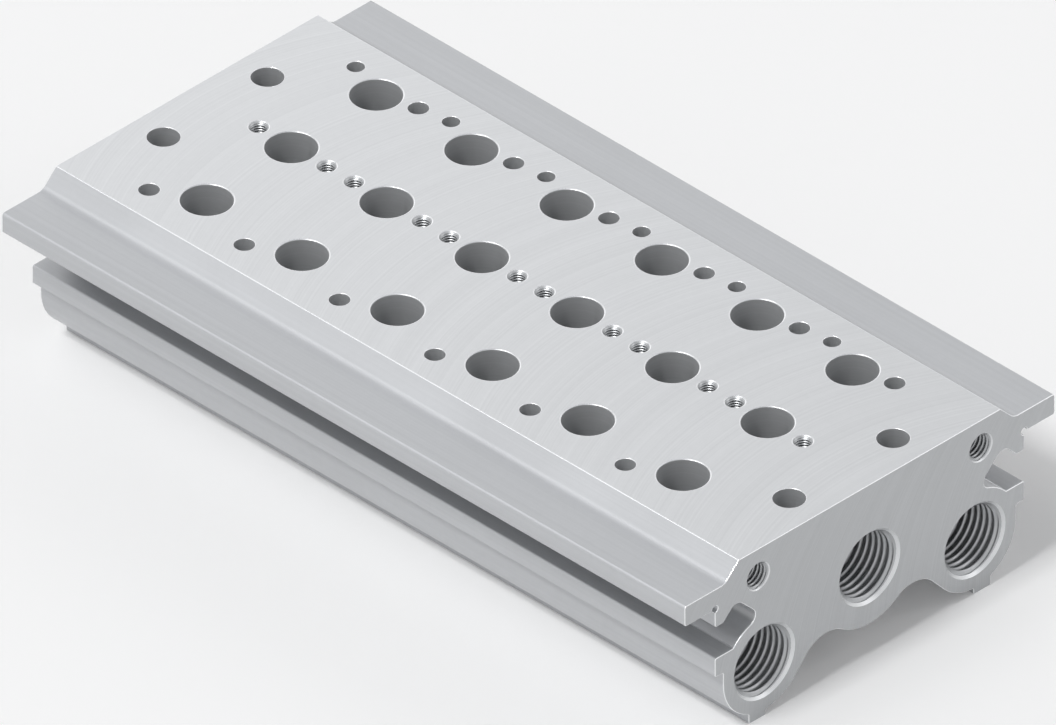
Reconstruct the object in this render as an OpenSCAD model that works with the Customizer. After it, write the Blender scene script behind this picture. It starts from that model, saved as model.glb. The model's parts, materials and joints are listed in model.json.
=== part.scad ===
// Manifold block for a row of solenoid valves: one extruded rail, drilled and tapped.
// X runs along the rail, Y across it and Z up. The origin is under the middle, level with the feet.
// The near end is at +X and the front side at -Y. All sizes are in millimetres.

/* [Rail length] */
// Number of valve stations
stations = 6; // [1:1:12]
// Distance from one station to the next
station_pitch = 22; // [20:0.1:40]
// From the near end face to the middle of the first station
near_margin = 24.3; // [22:0.1:40]
// From the middle of the last station to the far end face
far_margin = 23.4; // [22:0.1:40]

/* [Head] */
// Height of the rail, from the feet to the valve face
rail_h = 34; // [33:0.1:45]
// Width of the flat valve face
face_w = 60.4; // [58:0.1:64]
// How far the flanges lie below the valve face, joined by slopes at 45 degrees
shoulder_drop = 3.2; // [1:0.1:5]
// Radius at the foot of each slope
shoulder_r = 2.4; // [0.5:0.1:4]

/* [Side flanges] */
// Width over both flanges
flange_w = 85.4; // [80:0.1:110]
// Thickness of a flange
flange_t = 4; // [2:0.1:5]
// Radius along a flange's outer edges
flange_edge_r = 0.5; // [0.1:0.05:0.9]

/* [Clamp grooves] */
// Width over the claws above the grooves and the lips below them
claw_w = 71.4; // [70:0.1:76]
// How far a claw hangs below its flange
claw_h = 3.6; // [2:0.1:5]
// Width of a claw's flat end
claw_toe = 1.9; // [1:0.1:3]
// Radius along the edges of a claw
claw_edge_r = 0.35; // [0.1:0.05:0.45]
// Radius of the relief in the corner between flange and claw
relief_r = 0.68; // [0.3:0.01:0.9]
// Height of the groove's crown above the claw's end, before it is rounded
crown_rise = 3.05; // [2:0.05:3.5]
// Radius of the groove's crown
crown_r = 1.8; // [0.5:0.1:2.4]
// Radius of the groove's root
root_r = 1.65; // [0.8:0.05:2]
// Height of a lip's lower face above the feet
lip_z = 13.2; // [12:0.1:14]
// Thickness of a lip
lip_t = 3.7; // [2.5:0.1:4]
// Radius along the edges of a lip
lip_edge_r = 0.4; // [0.1:0.05:0.9]

/* [Galleries] */
// Diameter of the three galleries that run through the rail
gallery_d = 11.8; // [8:0.1:12.6]
// Distance between the two outer galleries
gallery_spacing = 48.6; // [47.5:0.1:50]
// Height of the middle gallery above the outer ones
mid_rise = 6.7; // [5:0.1:8]
// Outer radius of the lobes around the outer galleries
lobe_r = 9.5; // [9:0.1:10]
// Outer radius of the lobe around the middle gallery
mid_lobe_r = 11.2; // [10:0.1:12]
// Slope of an outer lobe's inner flank
flank_angle = 48; // [40:0.5:55]
// Radius of the valleys between the lobes
valley_r = 6.2; // [4:0.1:7]

/* [Feet] */
// Distance between the feet's inner faces
foot_gap = 48; // [44:0.1:52]
// Width of a foot
foot_w = 3.9; // [2:0.1:6]
// How far the feet stand below the outer lobes
foot_h = 1.2; // [0.8:0.1:3]
// Radius along a foot's lower edges
foot_edge_r = 0.3; // [0.1:0.05:0.6]
// Radius where a foot meets its lobe
heel_r = 0.45; // [0.2:0.05:0.7]

/* [End ports] */
// Major diameter of the gallery port thread, G 1/4
port_thread_d = 13.157; // [12.7:0.001:14]
// Depth of the gallery port thread
port_thread_depth = 13; // [8:0.5:16]
// Diameter of the chamfer at a gallery port's mouth
port_mouth_d = 14.1; // [14.05:0.05:14.6]

/* [End tapped holes] */
// Major diameter of the tapped holes in the end faces, M5
end_thread_d = 5; // [4.3:0.1:5]
// Depth of their thread
end_thread_depth = 8; // [5:0.5:9]
// Diameter of their drilled bottom
end_drill_d = 4.2; // [3:0.1:4.2]
// Depth of their drilled bottom, without its point
end_drill_depth = 10.5; // [9.5:0.5:12]
// Diameter of the chamfer at their mouth
end_mouth_d = 5.4; // [5.1:0.1:6]
// Distance between the two tapped holes of one end
end_thread_spacing = 51.4; // [48:0.1:53]
// Their depth below the valve face
end_thread_drop = 5.5; // [4.5:0.1:6]

/* [Valve ports] */
// Diameter of the ports that lead down to the galleries
valve_port_d = 8.8; // [6:0.1:9]
// Diameter of the chamfer at a valve port's mouth
valve_mouth_d = 9.1; // [9.05:0.05:9.6]
// Middle port, offset across the rail
mid_port_y = 0.7; // [-1:0.1:1]
// Front port, offset along the rail
front_port_x = 0.8; // [-1:0.1:1]
// Front port, distance in front of the middle
front_port_y = 19.6; // [19:0.1:21]
// Rear port, offset along the rail
rear_port_x = -0.7; // [-1:0.1:1]
// Rear port, distance behind the middle
rear_port_y = 21; // [19:0.1:21]

/* [Valve screws] */
// Major diameter of the tapped holes for a valve's screws, M3
screw_thread_d = 3; // [2.6:0.1:3]
// Depth of their thread
screw_thread_depth = 6; // [4:0.5:6.5]
// Diameter of their drilled bottom
screw_drill_d = 2.5; // [2:0.1:2.5]
// Depth of their drilled bottom, without its point
screw_drill_depth = 7.5; // [7:0.5:8]
// Diameter of their countersink
screw_mouth_d = 3.5; // [3.1:0.1:4]
// Distance between the two screws of one valve
screw_spacing = 15.7; // [15:0.1:16]
// Offset of the screws across the rail
screw_y = 1; // [-1:0.1:1.5]

/* [Gasket peg holes] */
// Depth of the blind holes that take a valve gasket's pegs
peg_depth = 4.5; // [2:0.5:5]
// Front hole, diameter
front_peg_d = 3.5; // [2:0.1:3.5]
// Front hole, offset along the rail
front_peg_x = -7.95; // [-8.5:0.05:-7.5]
// Front hole, distance in front of the middle
front_peg_y = 24.2; // [23:0.1:25]
// Rear left hole, diameter
left_peg_d = 3; // [2:0.1:3.2]
// Rear left hole, offset along the rail
left_peg_x = -8.65; // [-9:0.05:-8]
// Rear left hole, distance behind the middle
left_peg_y = 24.25; // [23:0.05:25]
// Rear right hole, diameter
right_peg_d = 3.5; // [2:0.1:3.5]
// Rear right hole, offset along the rail
right_peg_x = 6.85; // [6.5:0.05:7]
// Rear right hole, distance behind the middle
right_peg_y = 23.2; // [22.5:0.1:25]

/* [Mounting holes] */
// Diameter of the through holes at the corners
mount_hole_d = 5.5; // [4:0.1:6]
// From an end face to the axis of its mounting holes
mount_edge = 6.6; // [6:0.1:8]
// Distance between the two mounting holes of one end
mount_spacing = 24; // [22:0.1:25]

/* [Hidden] */
$fa = 4;
$fs = 0.25;

// How far cutters and blends reach past the faces that they end at
over = 0.2;
// How deep an arc is tucked into the sides that it touches, so that they meet in one clean edge
tuck = 0.0002;
// Full angle of a drill's point
drill_point = 118;

length = near_margin + (stations - 1) * station_pitch + far_margin;
near_end = length / 2;

flange_z = rail_h - shoulder_drop;
claw_top = flange_z - flange_t;
claw_z = claw_top - claw_h;
lip_top = lip_z + lip_t;

lobe_z = foot_h + lobe_r;
lobe = [gallery_spacing / 2, lobe_z];
mid_lobe = [0, lobe_z + mid_rise];

// The groove's inner wall runs down and inwards at 45 degrees from its crown to its root
crown = [claw_w / 2 - claw_toe - crown_rise, claw_z + crown_rise];
wall_dir = [-1, -1] / sqrt(2);
wall_out = [1, -1] / sqrt(2);
root = blend_centre(crown, wall_dir, wall_out, root_r, lobe, lobe_r);
root_start = root - (root_r - tuck) * wall_out;

// An outer lobe's inner flank is straight, and runs up and inwards to the valley
flank_out = [-sin(flank_angle), -cos(flank_angle)];
flank_dir = [-cos(flank_angle), sin(flank_angle)];
flank_start = lobe + (lobe_r - tuck) * flank_out;
valley = blend_centre(flank_start, flank_dir, flank_out, valley_r, mid_lobe, mid_lobe_r);
flank_end = valley - (valley_r - tuck) * flank_out;

// A heel is the small arc on each side of a foot, between the foot and its lobe
foot_inner = foot_gap / 2;
foot_outer = foot_inner + foot_w;
inner_heel = heel_centre(foot_inner, -1);
outer_heel = heel_centre(foot_outer, 1);

// Centre of an arc of radius r that touches both a straight line and the outside of a circle.
// The line starts at from and runs along dir, and the arc lies on its side out.
function blend_centre(from, dir, out, r, centre, circle_r) =
    let (start = from + (r - tuck) * out,
         back = start - centre,
         reach = back * dir)
    start - (reach + sqrt(reach * reach - back * back + pow(circle_r + r - tuck, 2))) * dir;

// Centre of the heel on side s of an upright wall, touching the outer lobe from below
function heel_centre(wall, s) =
    let (y = wall + s * (heel_r - tuck))
    [y, lobe[1] - sqrt(pow(lobe_r + heel_r - tuck, 2) - pow(y - lobe[0], 2))];

function unit(v) = v / norm(v);
function cross_z(a, b) = a[0] * b[1] - a[1] * b[0];

// The sliver between a corner and the arc of radius r that touches both of its sides.
// a and b point from the corner along the sides. It reaches past the sides on their other face.
module corner_sliver(corner, a, b, r) {
    mid = unit(a + b);
    half = acos(a * mid);
    centre = (r - tuck) / sin(half);
    side = [centre, 0] + (r + over) * [-sin(half), cos(half)];
    translate(corner) rotate(atan2(mid[1], mid[0])) difference() {
        polygon([[-over / sin(half), 0], [side[0], -side[1]], [centre, 0], side]);
        translate([centre, 0]) circle(r);
    }
}

// An outline drawn anticlockwise whose corners are rounded by arcs. Each row is [y, z, corner radius].
module rounded_outline(rows) {
    count = len(rows);
    points = [for (row = rows) [row[0], row[1]]];
    module slivers(sign) {
        for (i = [0 : count - 1]) {
            a = unit(points[(i + count - 1) % count] - points[i]);
            b = unit(points[(i + 1) % count] - points[i]);
            if (rows[i][2] > 0 && sign * cross_z(b, a) > 0)
                corner_sliver(points[i], a, b, rows[i][2]);
        }
    }
    difference() {
        union() {
            polygon(points);
            slivers(-1);
        }
        slivers(1);
    }
}

// Head, side flange and claw, down to the lobes' centres
module head_outline() {
    rounded_outline([
        [0, mid_lobe[1], 0],
        [valley[0], valley[1], 0],
        [flank_end[0], flank_end[1], 0],
        [flank_start[0], flank_start[1], 0],
        [lobe[0], lobe[1], 0],
        [root[0], root[1], 0],
        [root_start[0], root_start[1], 0],
        [crown[0], crown[1], crown_r],
        [claw_w / 2 - claw_toe, claw_z, claw_edge_r],
        [claw_w / 2, claw_z, claw_edge_r],
        [claw_w / 2, claw_top, 0],
        [flange_w / 2, claw_top, flange_edge_r],
        [flange_w / 2, flange_z, flange_edge_r],
        [face_w / 2 + shoulder_drop, flange_z, shoulder_r],
        [face_w / 2, rail_h, 0],
        [0, rail_h, 0]
    ]);
}

// Lip below the groove, with the upright wall that leads down to the outer lobe
module lip_outline() {
    wall = lobe[0] + lobe_r;
    rounded_outline([
        [lobe[0], lobe[1], 0],
        [wall, lobe[1], 0],
        [wall, lip_z, lip_edge_r],
        [claw_w / 2, lip_z, lip_edge_r],
        [claw_w / 2, lip_top, lip_edge_r],
        [lobe[0], lip_top, 0]
    ]);
}

// Narrow foot under the outer lobe, with a heel on each side
module foot_outline() {
    difference() {
        rounded_outline([
            [foot_inner, 0, foot_edge_r],
            [foot_outer, 0, foot_edge_r],
            [foot_outer, outer_heel[1], 0],
            [outer_heel[0], outer_heel[1], 0],
            [lobe[0], lobe[1], 0],
            [inner_heel[0], inner_heel[1], 0],
            [foot_inner, inner_heel[1], 0]
        ]);
        translate(inner_heel) circle(heel_r);
        translate(outer_heel) circle(heel_r);
    }
}

module half_outline() {
    difference() {
        union() {
            head_outline();
            lip_outline();
            translate(lobe) circle(lobe_r);
            translate(mid_lobe) circle(mid_lobe_r);
        }
        translate(valley) circle(valley_r);
        translate(root) circle(root_r);
        translate([claw_w / 2, claw_top]) circle(relief_r);
    }
    foot_outline();
}

module rail() {
    rotate([90, 0, 90]) linear_extrude(length, center = true) {
        half_outline();
        mirror([1, 0]) half_outline();
    }
}

// A hole down from the origin, with a chamfered mouth. Each step is [diameter, depth from the mouth].
module hole(mouth_d, steps, pointed = true) {
    last = steps[len(steps) - 1];
    rotate_extrude() polygon([
        [0, over],
        [mouth_d / 2 + over, over],
        for (i = [0 : len(steps) - 1])
            each [[steps[i][0] / 2, i == 0 ? (steps[0][0] - mouth_d) / 2 : -steps[i - 1][1]],
                  [steps[i][0] / 2, -steps[i][1]]],
        [0, -last[1] - (pointed ? last[0] / 2 / tan(drill_point / 2) : 0)]
    ]);
}

module galleries() {
    for (place = [[-lobe[0], lobe[1]], mid_lobe, lobe])
        translate([0, place[0], place[1]]) rotate([0, 90, 0])
            cylinder(h = length + 2 * over, d = gallery_d, center = true);
}

// Threaded gallery ports and tapped holes of the near end face
module end_holes() {
    for (place = [[-lobe[0], lobe[1]], mid_lobe, lobe])
        translate([near_end, place[0], place[1]]) rotate([0, 90, 0])
            hole(port_mouth_d, [[port_thread_d, port_thread_depth]], pointed = false);
    for (s = [-1, 1])
        translate([near_end, s * end_thread_spacing / 2, rail_h - end_thread_drop]) rotate([0, 90, 0])
            hole(end_mouth_d, [[end_thread_d, end_thread_depth], [end_drill_d, end_drill_depth]]);
}

// One valve port, from the valve face down to the height of its gallery's axis
module valve_port(x, y, gallery_z) {
    translate([x, y, rail_h]) hole(valve_mouth_d, [[valve_port_d, rail_h - gallery_z]]);
}

module peg_hole(x, y, d) {
    translate([x, y, rail_h]) hole(d, [[d, peg_depth]]);
}

// All holes of one valve station, about its middle
module valve_station() {
    valve_port(0, mid_port_y, mid_lobe[1]);
    valve_port(front_port_x, -front_port_y, lobe[1]);
    valve_port(rear_port_x, rear_port_y, lobe[1]);
    for (s = [-1, 1])
        translate([s * screw_spacing / 2, screw_y, rail_h])
            hole(screw_mouth_d, [[screw_thread_d, screw_thread_depth], [screw_drill_d, screw_drill_depth]]);
    peg_hole(front_peg_x, -front_peg_y, front_peg_d);
    peg_hole(left_peg_x, left_peg_y, left_peg_d);
    peg_hole(right_peg_x, right_peg_y, right_peg_d);
}

module mounting_holes() {
    for (x = [-1, 1] * (near_end - mount_edge), y = [-1, 1] * mount_spacing / 2)
        translate([x, y, -over]) cylinder(h = rail_h + 2 * over, d = mount_hole_d);
}

module manifold_block() {
    color([0.78, 0.79, 0.8]) difference() {
        rail();
        galleries();
        end_holes();
        mirror([1, 0, 0]) end_holes();
        for (i = [0 : stations - 1])
            translate([near_end - near_margin - i * station_pitch, 0, 0]) valve_station();
        mounting_holes();
    }
}

manifold_block();
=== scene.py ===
# Manifold block in satin aluminium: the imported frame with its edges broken,
# the tapped threads cut in, and a small studio round it.
import json
import math

import bpy
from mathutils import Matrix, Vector

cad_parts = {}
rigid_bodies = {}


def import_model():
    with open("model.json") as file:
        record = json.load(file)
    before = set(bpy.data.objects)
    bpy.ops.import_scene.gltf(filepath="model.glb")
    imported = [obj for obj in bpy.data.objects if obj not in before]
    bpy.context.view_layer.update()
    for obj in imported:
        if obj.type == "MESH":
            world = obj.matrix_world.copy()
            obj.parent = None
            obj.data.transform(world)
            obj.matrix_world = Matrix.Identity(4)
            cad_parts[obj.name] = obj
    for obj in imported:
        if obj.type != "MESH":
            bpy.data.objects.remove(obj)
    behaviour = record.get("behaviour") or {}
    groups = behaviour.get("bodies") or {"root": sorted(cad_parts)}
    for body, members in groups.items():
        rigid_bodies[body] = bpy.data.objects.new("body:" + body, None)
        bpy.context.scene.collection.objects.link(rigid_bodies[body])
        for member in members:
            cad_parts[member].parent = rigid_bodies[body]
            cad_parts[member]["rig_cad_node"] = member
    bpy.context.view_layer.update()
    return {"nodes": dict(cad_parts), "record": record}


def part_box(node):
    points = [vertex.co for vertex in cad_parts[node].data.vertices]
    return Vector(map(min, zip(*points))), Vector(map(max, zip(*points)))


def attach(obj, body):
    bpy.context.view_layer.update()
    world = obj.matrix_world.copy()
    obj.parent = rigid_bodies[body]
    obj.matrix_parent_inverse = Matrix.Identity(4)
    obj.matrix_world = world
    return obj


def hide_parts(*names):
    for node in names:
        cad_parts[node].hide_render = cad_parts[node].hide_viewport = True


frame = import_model()
record = frame["record"]
mm = 0.001  # everything in the scene is in metres
blockLow, blockHigh = (Vector(corner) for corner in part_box("manifold_block"))
endX, faceZ = blockHigh.x, blockHigh.z  # the near end face and the valve face
print("frame loaded, block is", [round(v / mm, 2) for v in blockHigh - blockLow], "mm")


# small helpers for working by hand
def pick(thing):
    bpy.ops.object.select_all(action="DESELECT")
    thing.select_set(True)
    bpy.context.view_layer.objects.active = thing


def useModifier(thing, kind, **values):
    pick(thing)
    bpy.ops.object.modifier_add(type=kind)
    modifier = thing.modifiers[-1]
    for name, value in values.items():
        setattr(modifier, name, value)
    bpy.ops.object.modifier_apply(modifier=modifier.name)


def copyPiece(thing, name):
    pick(thing)
    bpy.ops.object.duplicate()
    twin = bpy.context.active_object
    twin.name = twin.data.name = name
    return twin


def smoothBy(thing, degrees):
    pick(thing)
    bpy.ops.object.shade_smooth_by_angle(angle=math.radians(degrees))


# helpers for shader trees
def newGroup(name, inputs, outputs):
    tree = bpy.data.node_groups.new(name, "ShaderNodeTree")
    for way, sockets in (("INPUT", inputs), ("OUTPUT", outputs)):
        for label, kind in sockets.items():
            tree.interface.new_socket(name=label, in_out=way, socket_type="NodeSocket" + kind)
    return tree, tree.nodes.new("NodeGroupInput"), tree.nodes.new("NodeGroupOutput")


def put(tree, kind, **values):
    node = tree.nodes.new(kind)
    for name, value in values.items():
        setattr(node, name, value)
    return node


def placeGroup(tree, group):
    node = put(tree, "ShaderNodeGroup")
    node.node_tree = group
    return node


def calc(tree, operation, first, second=None, third=None):
    node = put(tree, "ShaderNodeMath", operation=operation)
    for place, value in enumerate((first, second, third)):
        if isinstance(value, (int, float)):
            node.inputs[place].default_value = value
        elif value is not None:
            tree.links.new(value, node.inputs[place])
    return node.outputs[0]


def mixNoise(tree, fine, broad, fineShare):
    # fine and broad noise together, with the rest of the share going to the broad one
    weighed = calc(tree, "MULTIPLY", fine, fineShare)
    return calc(tree, "ADD", weighed, calc(tree, "MULTIPLY", broad, 1 - fineShare))


def noiseAlong(tree, travel, scale, detail, roughness):
    noise = put(tree, "ShaderNodeTexNoise", noise_dimensions="1D")
    noise.inputs["Scale"].default_value = scale
    noise.inputs["Detail"].default_value = detail
    noise.inputs["Roughness"].default_value = roughness
    tree.links.new(travel, noise.inputs["W"])
    return noise.outputs["Fac"]


def noiseIn(tree, vector, perMetre, detail):
    mapping = put(tree, "ShaderNodeMapping")
    mapping.inputs["Scale"].default_value = perMetre
    noise = put(tree, "ShaderNodeTexNoise")
    noise.inputs["Scale"].default_value = 1.0
    noise.inputs["Detail"].default_value = detail
    tree.links.new(vector, mapping.inputs["Vector"])
    tree.links.new(mapping.outputs["Vector"], noise.inputs["Vector"])
    return noise.outputs["Fac"]


# fine lines along X that the die leaves on every extruded side,
# in grains of noise to a metre along X, Y and Z
dieLineSettings = {
    "finePerMetre": (9.0, 2100.0, 2100.0),
    "fineDetail": 2.0,
    "broadPerMetre": (2.5, 330.0, 330.0),
    "broadDetail": 3.0,
    "fineShare": 0.55,
}


def makeDieLines():
    values = dieLineSettings
    tree, start, end = newGroup("dieLines", {"Vector": "Vector"}, {"Lines": "Float"})
    fine = noiseIn(tree, start.outputs["Vector"], values["finePerMetre"], values["fineDetail"])
    broad = noiseIn(tree, start.outputs["Vector"], values["broadPerMetre"], values["broadDetail"])
    tree.links.new(mixNoise(tree, fine, broad, values["fineShare"]), end.inputs["Lines"])
    return tree


# marks that a cutting edge leaves along its travel, in grains of noise to a step of its feed
toolMarkSettings = {
    "finePerStep": 0.9,
    "fineDetail": 1.0,
    "broadPerStep": 0.11,
    "broadDetail": 2.0,
    "fineShare": 0.6,
    "roughness": 0.6,
}


def makeToolMarks():
    values = toolMarkSettings
    inputs = {"Travel": "Float", "Spacing": "Float"}
    tree, start, end = newGroup("toolMarks", inputs, {"Marks": "Float"})
    steps = calc(tree, "DIVIDE", start.outputs["Travel"], start.outputs["Spacing"])
    fine = noiseAlong(tree, steps, values["finePerStep"], values["fineDetail"], values["roughness"])
    broad = noiseAlong(tree, steps, values["broadPerStep"], values["broadDetail"], values["roughness"])
    tree.links.new(mixNoise(tree, fine, broad, values["fineShare"]), end.inputs["Marks"])
    return tree


# faint clouds and specks from anodising and handling, over any finish
handlingSettings = {
    "cloudsPerMetre": (38.0, 52.0, 52.0),
    "cloudDetail": 4.0,
    "specksPerMetre": (900.0, 900.0, 900.0),
    "speckDetail": 2.0,
    "cloudTone": 0.10,  # how far the clouds lift or lower the metal's colour
    "speckTone": 0.04,
    "cloudSheen": 0.16,  # how far the clouds change its roughness
    "markSheen": -0.10,
}


def makeHandling():
    values = handlingSettings
    inputs = {
        "Vector": "Vector",
        "Metal": "Color",
        "Marks": "Float",
        "MarkDepth": "Float",
        "Sheen": "Float",
    }
    tree, start, end = newGroup("handling", inputs, {"Color": "Color", "Roughness": "Float"})
    clouds = noiseIn(tree, start.outputs["Vector"], values["cloudsPerMetre"], values["cloudDetail"])
    specks = noiseIn(tree, start.outputs["Vector"], values["specksPerMetre"], values["speckDetail"])
    # each swings round 0, and the metal's level round 1
    markSwing = calc(tree, "SUBTRACT", start.outputs["Marks"], 0.5)
    cloudSwing = calc(tree, "SUBTRACT", clouds, 0.5)
    speckSwing = calc(tree, "SUBTRACT", specks, 0.5)
    level = calc(tree, "MULTIPLY_ADD", markSwing, start.outputs["MarkDepth"], 1.0)
    level = calc(tree, "MULTIPLY_ADD", cloudSwing, values["cloudTone"], level)
    level = calc(tree, "MULTIPLY_ADD", speckSwing, values["speckTone"], level)
    tint = put(tree, "ShaderNodeVectorMath", operation="SCALE")
    tree.links.new(start.outputs["Metal"], tint.inputs[0])
    tree.links.new(level, tint.inputs["Scale"])
    tree.links.new(tint.outputs["Vector"], end.inputs["Color"])
    rough = calc(tree, "MULTIPLY_ADD", cloudSwing, values["cloudSheen"], start.outputs["Sheen"])
    rough = calc(tree, "MULTIPLY_ADD", markSwing, values["markSheen"], rough)
    tree.links.new(rough, end.inputs["Roughness"])
    return tree


dieLines = makeDieLines()
toolMarks = makeToolMarks()
handling = makeHandling()
print("shader groups built")


# finishes of the block and its threads
finishes = {
    "extrudedSkin": {
        "metal": (0.53, 0.54, 0.555),  # base colour
        "metallic": 0.50,
        "sheen": 0.42,  # roughness
        "depth": 0.22,  # how much the marks show in the colour
        "bumpMm": 0.012,  # how high they stand
        "strength": 0.35,  # how much of that the light sees
    },
    "milledFace": {
        "metal": (0.68, 0.69, 0.70),
        "metallic": 0.92,
        "sheen": 0.36,
        "depth": 0.16,
        "bumpMm": 0.010,
        "strength": 0.30,
        "spacingMm": 0.42,  # feed of the tool
        "cutterMm": 63.0,  # radius of the face mill
    },
    "cutEndShaded": {
        # the end face's colour is darker than the milled face's: painted shade, so the near end reads
        # as the side turned from the light
        "metal": (0.47, 0.48, 0.49),
        "metallic": 0.92,
        "sheen": 0.35,
        "depth": 0.20,
        "bumpMm": 0.012,
        "strength": 0.35,
        "spacingMm": 0.36,
        "cutterMm": 50.0,
    },
    "boredGallery": {
        "metal": (0.74, 0.75, 0.76),
        "metallic": 0.80,
        "sheen": 0.42,
        "depth": 0.25,
        "bumpMm": 0.015,
        "strength": 0.40,
        "spacingMm": 0.16,
    },
    "drilledPortShaded": {
        # a rough drilled finish, and its colour is also lowered as painted shade so the holes and
        # countersinks in the valve face read dark
        "metal": (0.50, 0.51, 0.52),
        "metallic": 0.30,
        "sheen": 0.44,
        "depth": 0.25,
        "bumpMm": 0.015,
        "strength": 0.40,
        "spacingMm": 0.14,
    },
    "brokenEdgeHighlight": {
        # brighter than the faces round it: partly bare metal at the broken edges, partly a painted
        # highlight along every edge
        "metal": (0.86, 0.87, 0.88),
        "metallic": 0.95,
        "sheen": 0.28,
        "depth": 0.04,
        "bumpMm": 0.003,
        "strength": 0.05,
        "spacingMm": 0.30,
    },
    "tappedThreadShaded": {
        # the threads' colour is set dark: painted shade, so the tapped holes read as dark holes
        "metal": (0.45, 0.46, 0.47),
        "metallic": 0.92,
        "sheen": 0.40,
        "depth": 0.15,
        "bumpMm": 0.006,
        "strength": 0.25,
        "spacingMm": 0.22,
    },
}
oxideCoat = {"weight": 0.08, "roughness": 0.30}  # the clear layer over all of them


def cutterTravel(tree, feed, across, cutterMm):
    # a face mill leaves arcs of its own radius, shifted along its feed
    squared = calc(tree, "MULTIPLY", across, across)
    inside = calc(tree, "SUBTRACT", (cutterMm * mm) ** 2, squared)
    return calc(tree, "ADD", feed, calc(tree, "SQRT", calc(tree, "MAXIMUM", inside, 0.0)))


def marksFor(tree, name, place):
    # what the die or the tool has left on this finish
    if name == "extrudedSkin":
        lines = placeGroup(tree, dieLines)
        tree.links.new(place, lines.inputs["Vector"])
        return lines.outputs["Lines"]
    values = finishes[name]
    axes = put(tree, "ShaderNodeSeparateXYZ")
    tree.links.new(place, axes.inputs["Vector"])
    x, y, z = (axes.outputs[label] for label in "XYZ")
    if name == "milledFace":
        travel = cutterTravel(tree, x, y, values["cutterMm"])
    elif name == "cutEndShaded":
        travel = cutterTravel(tree, y, z, values["cutterMm"])
    elif name == "drilledPortShaded":
        travel = z
    elif name == "boredGallery":
        travel = x
    else:  # threads and broken edges lie every way
        travel = calc(tree, "ADD", calc(tree, "ADD", x, y), z)
    tool = placeGroup(tree, toolMarks)
    tool.inputs["Spacing"].default_value = values["spacingMm"] * mm
    tree.links.new(travel, tool.inputs["Travel"])
    return tool.outputs["Marks"]


def makeFinish(name):
    values = finishes[name]
    material = bpy.data.materials.new(name)
    material.use_nodes = True
    tree = material.node_tree
    shader = tree.nodes["Principled BSDF"]
    place = put(tree, "ShaderNodeTexCoord").outputs["Object"]
    marks = marksFor(tree, name, place)
    touch = placeGroup(tree, handling)
    touch.inputs["Metal"].default_value = (*values["metal"], 1.0)
    touch.inputs["MarkDepth"].default_value = values["depth"]
    touch.inputs["Sheen"].default_value = values["sheen"]
    tree.links.new(place, touch.inputs["Vector"])
    tree.links.new(marks, touch.inputs["Marks"])
    tree.links.new(touch.outputs["Color"], shader.inputs["Base Color"])
    tree.links.new(touch.outputs["Roughness"], shader.inputs["Roughness"])
    bump = put(tree, "ShaderNodeBump")
    bump.inputs["Distance"].default_value = values["bumpMm"] * mm
    bump.inputs["Strength"].default_value = values["strength"]
    tree.links.new(marks, bump.inputs["Height"])
    tree.links.new(bump.outputs["Normal"], shader.inputs["Normal"])
    shader.inputs["Metallic"].default_value = values["metallic"]
    shader.inputs["Coat Weight"].default_value = oxideCoat["weight"]
    shader.inputs["Coat Roughness"].default_value = oxideCoat["roughness"]
    return material


materials = {name: makeFinish(name) for name in finishes}
print("finishes made:", ", ".join(materials))


# the block itself: a merged copy of the frame's node with its edges broken
blockSettings = {
    "mergeMm": 0.001,  # joins the frame's loose triangles
    "flatDegrees": 0.2,  # faces that meet flatter than this become one
    "sharpDegrees": 40,  # edges sharper than this may be broken
    "edgeBreakMm": 0.12,
    "edgeSteps": 3,
    "edgeProfile": 0.5,  # round
    "smoothDegrees": 33,
    "flatWeight": 100,  # how strongly large faces hold the normals
    "portReachMm": 7.3,  # nothing beyond this from a gallery's axis belongs to its bore
    "screwReachMm": 2.9,
    "screwFromShare": 0.8,  # the tapped end holes lie beyond this share of the half length
    "drilledYMm": 27.0,  # the drilled holes from above lie inside this half width
    "drilledZMm": 4.0,
    "drilledTilt": -0.02,  # and none of their faces looks further down than this
    "squareOn": 0.999,  # how nearly a face looks along an axis to count as square to it
    "faceNearMm": 0.01,  # how near a plane a face or an edge counts as lying on it
    "edgeNearMm": 0.001,
}
blockFinishes = ["extrudedSkin", "milledFace", "cutEndShaded", "boredGallery", "drilledPortShaded", "brokenEdgeHighlight"]
tapped = [m for m in record["mounts"] if m["kind"] == "threaded_hole"]
ports = [m for m in tapped if m["name"].startswith("port_")]
endScrews = [m for m in tapped if m["name"].startswith("end_screw_")]
patterns = [m for m in record["mounts"] if m["kind"] == "bolt_pattern"]
valveScrews = [m for m in patterns if m["name"].startswith("valve_")]


def inBore(point):
    # inside a gallery, a gallery port or a tapped hole of an end face
    reaches = ((ports, blockSettings["portReachMm"]), (endScrews, blockSettings["screwReachMm"]))
    for mounts, reachMm in reaches:
        for mount in mounts:
            _, y, z = mount["pos_m"]
            if math.hypot(point.y - y, point.z - z) < reachMm * mm:
                return mounts is ports or abs(point.x) > endX * blockSettings["screwFromShare"]
    return False


def finishOf(face):
    values = blockSettings
    centre, normal = face.center, face.normal
    near = values["faceNearMm"] * mm
    if normal.z > values["squareOn"] and centre.z > faceZ - near:
        return "milledFace"
    if abs(normal.x) > values["squareOn"] and abs(centre.x) > endX - near:
        return "cutEndShaded"
    if inBore(centre):
        return "boredGallery"
    drilled = abs(centre.y) < values["drilledYMm"] * mm and centre.z > values["drilledZMm"] * mm
    if drilled and normal.z > values["drilledTilt"]:
        return "drilledPortShaded"
    return "extrudedSkin"


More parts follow.
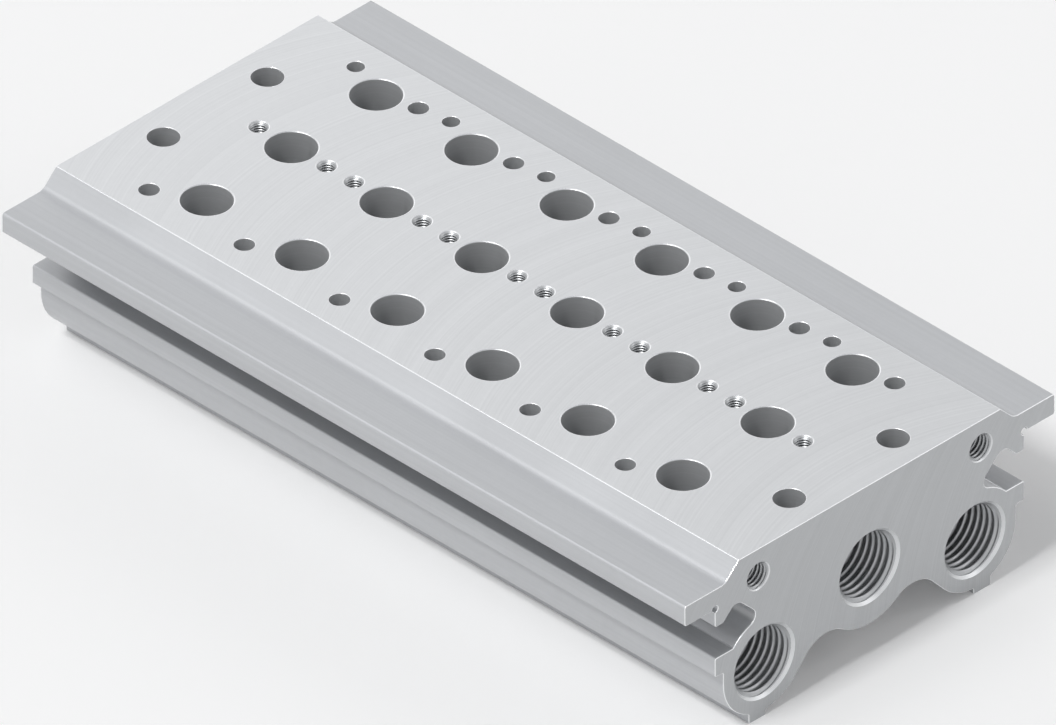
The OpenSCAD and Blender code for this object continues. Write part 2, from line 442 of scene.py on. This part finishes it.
def chooseBrokenEdges(mesh):
    # of the sharp edges, keep those round the ends, along the length
    # and round the holes in the valve face
    near = blockSettings["edgeNearMm"] * mm
    kept = 0
    for edge in mesh.edges:
        a, b = (mesh.vertices[i].co for i in edge.vertices)
        atEnd = min(abs(a.x), abs(b.x)) > endX - near and not inBore((a + b) / 2)
        along = abs(a.x - b.x) > endX
        onFace = min(a.z, b.z) > faceZ - near
        edge.select = edge.select and (atEnd or along or onFace)
        kept += edge.select
    return kept


def makeBlock():
    block = copyPiece(frame["nodes"]["manifold_block"], "machined_block")
    del block["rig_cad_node"]
    pick(block)
    bpy.ops.object.mode_set(mode="EDIT")
    bpy.ops.mesh.select_all(action="SELECT")
    bpy.ops.mesh.customdata_custom_splitnormals_clear()
    bpy.ops.mesh.remove_doubles(threshold=blockSettings["mergeMm"] * mm)
    bpy.ops.mesh.dissolve_limited(angle_limit=math.radians(blockSettings["flatDegrees"]))
    bpy.ops.mesh.select_mode(type="EDGE")
    bpy.ops.mesh.select_all(action="DESELECT")
    bpy.ops.mesh.edges_select_sharp(sharpness=math.radians(blockSettings["sharpDegrees"]))
    bpy.ops.object.mode_set(mode="OBJECT")
    mesh = block.data
    mesh.materials.clear()
    for name in blockFinishes:
        mesh.materials.append(materials[name])
    for face in mesh.polygons:
        face.material_index = blockFinishes.index(finishOf(face))
    broken = chooseBrokenEdges(mesh)
    bpy.ops.object.mode_set(mode="EDIT")
    bpy.ops.mesh.bevel(
        offset=blockSettings["edgeBreakMm"] * mm,
        segments=blockSettings["edgeSteps"],
        profile=blockSettings["edgeProfile"],
        clamp_overlap=False,
        loop_slide=False,
        material=blockFinishes.index("brokenEdgeHighlight"),
    )
    bpy.ops.object.mode_set(mode="OBJECT")
    smoothBy(block, blockSettings["smoothDegrees"])
    # the milled face and the cut ends stay dead flat up to their broken edges
    flat = [blockFinishes.index(name) for name in ("milledFace", "cutEndShaded")]
    for face in mesh.polygons:
        face.select = face.material_index in flat
    bpy.ops.object.mode_set(mode="EDIT")
    bpy.ops.mesh.region_to_loop()
    bpy.ops.mesh.mark_sharp()
    bpy.ops.object.mode_set(mode="OBJECT")
    useModifier(block, "WEIGHTED_NORMAL", keep_sharp=True, weight=blockSettings["flatWeight"])
    print("block has", len(mesh.polygons), "faces,", broken, "edges broken")
    return block


block = makeBlock()
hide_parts("manifold_block")
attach(block, "root")


# tapped threads: one ridge of each size, cut back by the countersink at its mouth,
# then copied to its holes
threadSettings = {
    # root and crest are radii, and so is the mouth of the countersink
    "port": {
        "pitchMm": 1.337,
        "rootMm": 6.579,
        "crestMm": 5.93,
        "mouthMm": 7.05,
        "turns": 10,
        "steps": 64,
        "flankDegrees": 27.5,
    },
    "endScrew": {
        "pitchMm": 0.8,
        "rootMm": 2.5,
        "crestMm": 2.12,
        "mouthMm": 2.7,
        "turns": 11,
        "steps": 40,
        "flankDegrees": 30.0,
    },
    "valveScrew": {
        "pitchMm": 0.5,
        "rootMm": 1.5,
        "crestMm": 1.265,
        "mouthMm": 1.75,
        "turns": 13,
        "steps": 32,
        "flankDegrees": 30.0,
    },
}
ridgeSettings = {
    "base": 0.45,  # half of the ridge's width at its root, as a share of the pitch
    "round": 0.12,  # how much of its height is rounded at the crest
    "tip": 0.6,  # how much of the crest's width the rounding leaves
    "sink": 0.03,  # how far its root goes into the wall, as a share of the pitch
    "clearMm": 2,  # how far the countersink's cone goes on above the mouth
    "smoothDegrees": 35,
}


def ridgeSection(values):
    # the ridge's outline as radius and height, from the root below the wall to the crest and back
    pitch, root, crest = (values[key] * mm for key in ("pitchMm", "rootMm", "crestMm"))
    slope = math.tan(math.radians(values["flankDegrees"]))
    half = ridgeSettings["base"] * pitch
    sunk = root + ridgeSettings["sink"] * pitch
    shoulder = crest + ridgeSettings["round"] * (root - crest)
    tip = half - (root - crest) * slope
    section = [
        (sunk, half + (sunk - root) * slope),
        (shoulder, half - (root - shoulder) * slope),
        (crest, tip * ridgeSettings["tip"]),
    ]
    return section + [(radius, -height) for radius, height in reversed(section)]


def makeRidge(name):
    values = threadSettings[name]
    pitch, mouth = values["pitchMm"] * mm, values["mouthMm"] * mm
    section = ridgeSection(values)
    bpy.ops.object.select_all(action="DESELECT")
    bpy.ops.mesh.primitive_circle_add(vertices=len(section), radius=pitch / 2, fill_type="NOTHING")
    ridge = bpy.context.active_object
    ridge.name = ridge.data.name = name
    for vertex, (radius, height) in zip(ridge.data.vertices, section):
        vertex.co = (radius, 0.0, height)
    useModifier(
        ridge,
        "SCREW",
        axis="Z",
        screw_offset=-pitch,
        iterations=values["turns"],
        steps=values["steps"],
        render_steps=values["steps"],
        use_merge_vertices=False,
    )
    bpy.ops.object.mode_set(mode="EDIT")
    bpy.ops.mesh.select_all(action="DESELECT")
    bpy.ops.mesh.select_non_manifold()
    bpy.ops.mesh.fill_holes(sides=0)
    bpy.ops.mesh.select_all(action="SELECT")
    bpy.ops.mesh.normals_make_consistent(inside=False)
    bpy.ops.object.mode_set(mode="OBJECT")
    # the countersink, a cone at 45 degrees that also clears everything above the mouth
    above = ridgeSettings["clearMm"] * mm
    bpy.ops.mesh.primitive_cone_add(
        vertices=values["steps"] * 2,
        radius1=0.0,
        radius2=mouth + above,
        depth=mouth + above,
        location=(0, 0, (above - mouth) / 2),
    )
    sink = bpy.context.active_object
    useModifier(ridge, "BOOLEAN", object=sink, operation="DIFFERENCE", solver="EXACT")
    pick(sink)
    bpy.ops.object.delete()
    smoothBy(ridge, ridgeSettings["smoothDegrees"])
    ridge.data.materials.clear()
    ridge.data.materials.append(materials["tappedThreadShaded"])
    return ridge


def setThread(ridge, name, mouth, axis):
    thread = copyPiece(ridge, name)
    thread.location = mouth
    thread.rotation_euler = Vector((0, 0, 1)).rotation_difference(Vector(axis)).to_euler()
    bpy.ops.object.transform_apply(location=True, rotation=True, scale=True)
    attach(thread, "root")
    return thread


ridges = {name: makeRidge(name) for name in threadSettings}
threads = []
for kind, mounts in (("port", ports), ("endScrew", endScrews)):
    for mount in mounts:
        _, y, z = mount["pos_m"]
        outward = mount["axis"]
        mouth = (outward[0] * endX, y, z)
        threads.append(setThread(ridges[kind], mount["name"] + "_thread", mouth, outward))
for mount in valveScrews:
    x, y, z = mount["pos_m"]
    reach = mount["dims"]["spacing_x_mm"] * mm / 2
    for side, word in ((-1, "left"), (1, "right")):
        name = mount["name"].replace("_screws", "_screw_" + word) + "_thread"
        threads.append(setThread(ridges["valveScrew"], name, (x + side * reach, y, z), mount["axis"]))
for ridge in ridges.values():
    pick(ridge)
    bpy.ops.object.delete()
print(len(threads), "threads cut,", sum(len(t.data.polygons) for t in threads), "faces")


# studio: pale floor, pale surroundings, soft lamps
studioSettings = {
    "floorSize": 6.0,
    "floorColor": (0.90, 0.90, 0.90, 1.0),
    "floorRoughness": 0.9,
    "floorSpecular": 0.1,
    "floorLift": 0.10,  # makes the paper look white to the camera and in the metal
    "worldLevel": 0.47,  # what lights the block
    "horizonColor": (0.96, 0.96, 0.965, 1.0),  # what the camera and the metal see
    "zenithColor": (0.58, 0.59, 0.61, 1.0),
    "fadeFrom": 0.35,  # the horizon fades to the zenith between these, 1 being straight up
    "fadeTo": 1.0,
    # name: place and size in metres, power in watts
    "lamps": {
        "keyLamp": ((0.00, -3.60, 5.33), 1.44, 192.0),
        "softLamp": ((-0.84, -0.92, 2.40), 1.50, 10.0),
        "backLamp": ((-0.60, 0.34, 0.36), 0.45, 0.20),
        "edgeLamp": ((0.60, 0.62, 0.60), 0.45, 0.7),
    },
}


def seenRay(tree):
    # 1 for rays from the camera and rays that the metal sends on
    path = put(tree, "ShaderNodeLightPath")
    seen = calc(tree, "MAXIMUM", path.outputs["Is Camera Ray"], path.outputs["Is Glossy Ray"])
    return calc(tree, "MAXIMUM", seen, path.outputs["Is Transmission Ray"])


def makeFloor():
    bpy.ops.object.select_all(action="DESELECT")
    bpy.ops.mesh.primitive_plane_add(size=studioSettings["floorSize"], location=(0, 0, 0))
    floor = bpy.context.active_object
    floor.name = floor.data.name = "floor"
    paper = bpy.data.materials.new("palePaper")
    paper.use_nodes = True
    tree = paper.node_tree
    shader = tree.nodes["Principled BSDF"]
    shader.inputs["Base Color"].default_value = studioSettings["floorColor"]
    shader.inputs["Roughness"].default_value = studioSettings["floorRoughness"]
    shader.inputs["Specular IOR Level"].default_value = studioSettings["floorSpecular"]
    shader.inputs["Emission Color"].default_value = (1.0, 1.0, 1.0, 1.0)
    lift = calc(tree, "MULTIPLY", seenRay(tree), studioSettings["floorLift"])
    tree.links.new(lift, shader.inputs["Emission Strength"])
    floor.data.materials.append(paper)


def makeLamps():
    # each lamp looks at the floor under the middle of the block
    for name, (place, size, power) in studioSettings["lamps"].items():
        bpy.ops.object.light_add(type="AREA", location=place)
        lamp = bpy.context.active_object
        lamp.name = lamp.data.name = name
        lamp.data.size = size
        lamp.data.energy = power
        lamp.rotation_euler = (-Vector(place)).to_track_quat("-Z", "Y").to_euler()


def makeWorld():
    world = bpy.data.worlds.new("studioWorld")
    bpy.context.scene.world = world
    world.use_nodes = True
    tree = world.node_tree
    sky = tree.nodes["Background"]
    direction = put(tree, "ShaderNodeSeparateXYZ")
    tree.links.new(put(tree, "ShaderNodeTexCoord").outputs["Generated"], direction.inputs["Vector"])
    fade = put(tree, "ShaderNodeMapRange", interpolation_type="SMOOTHSTEP")
    fade.inputs["From Min"].default_value = studioSettings["fadeFrom"]
    fade.inputs["From Max"].default_value = studioSettings["fadeTo"]
    tree.links.new(direction.outputs["Z"], fade.inputs["Value"])
    # of this node's sockets, 6 and 7 are the two colours and 2 is the mixed one
    colors = put(tree, "ShaderNodeMix", data_type="RGBA")
    tree.links.new(fade.outputs["Result"], colors.inputs[0])
    colors.inputs[6].default_value = studioSettings["horizonColor"]
    colors.inputs[7].default_value = studioSettings["zenithColor"]
    tree.links.new(colors.outputs[2], sky.inputs["Color"])
    level = put(tree, "ShaderNodeMapRange")
    level.inputs["To Min"].default_value = studioSettings["worldLevel"]
    tree.links.new(seenRay(tree), level.inputs["Value"])
    tree.links.new(level.outputs["Result"], sky.inputs["Strength"])


# the picture's view: true isometric, so all three axes have the same scale
pictureSettings = {
    "width": 1056,
    "height": 725,
    "azimuthDegrees": 45,
    "axisPixelsPerMm": 5.0,
    "faceHalfMm": 30.2,  # from the middle of the valve face to its long edges
    "cornerPixel": (739.0, 560.0),  # where the picture has the face's near left corner
    "away": 0.8,  # metres from the aim to the camera
    "clipEnd": 20,  # how far it sees
}


def makeCamera():
    values = pictureSettings
    azimuth, elevation = math.radians(values["azimuthDegrees"]), math.atan(1 / math.sqrt(2))
    right = Vector((math.cos(azimuth), math.sin(azimuth), 0))
    level = Vector((math.sin(azimuth), -math.cos(azimuth), 0))
    back = level * math.cos(elevation) + Vector((0, 0, math.sin(elevation)))
    up = back.cross(right)
    perPixel = mm / (values["axisPixelsPerMm"] / math.cos(elevation))
    pixelX, pixelY = values["cornerPixel"]
    aim = Vector((endX, -values["faceHalfMm"] * mm, faceZ))
    aim = aim + right * (values["width"] / 2 - pixelX) * perPixel
    aim = aim + up * (pixelY - values["height"] / 2) * perPixel
    bpy.ops.object.camera_add(location=aim + back * values["away"])
    camera = bpy.context.active_object
    camera.name = camera.data.name = "pictureCamera"
    camera.rotation_euler = (math.pi / 2 - elevation, 0, azimuth)
    camera.data.type = "ORTHO"
    camera.data.ortho_scale = values["width"] * perPixel
    camera.data.clip_end = values["clipEnd"]
    bpy.context.scene.camera = camera


makeFloor()
makeLamps()
makeWorld()
makeCamera()
bpy.context.scene.view_settings.view_transform = "Standard"
print("studio set")
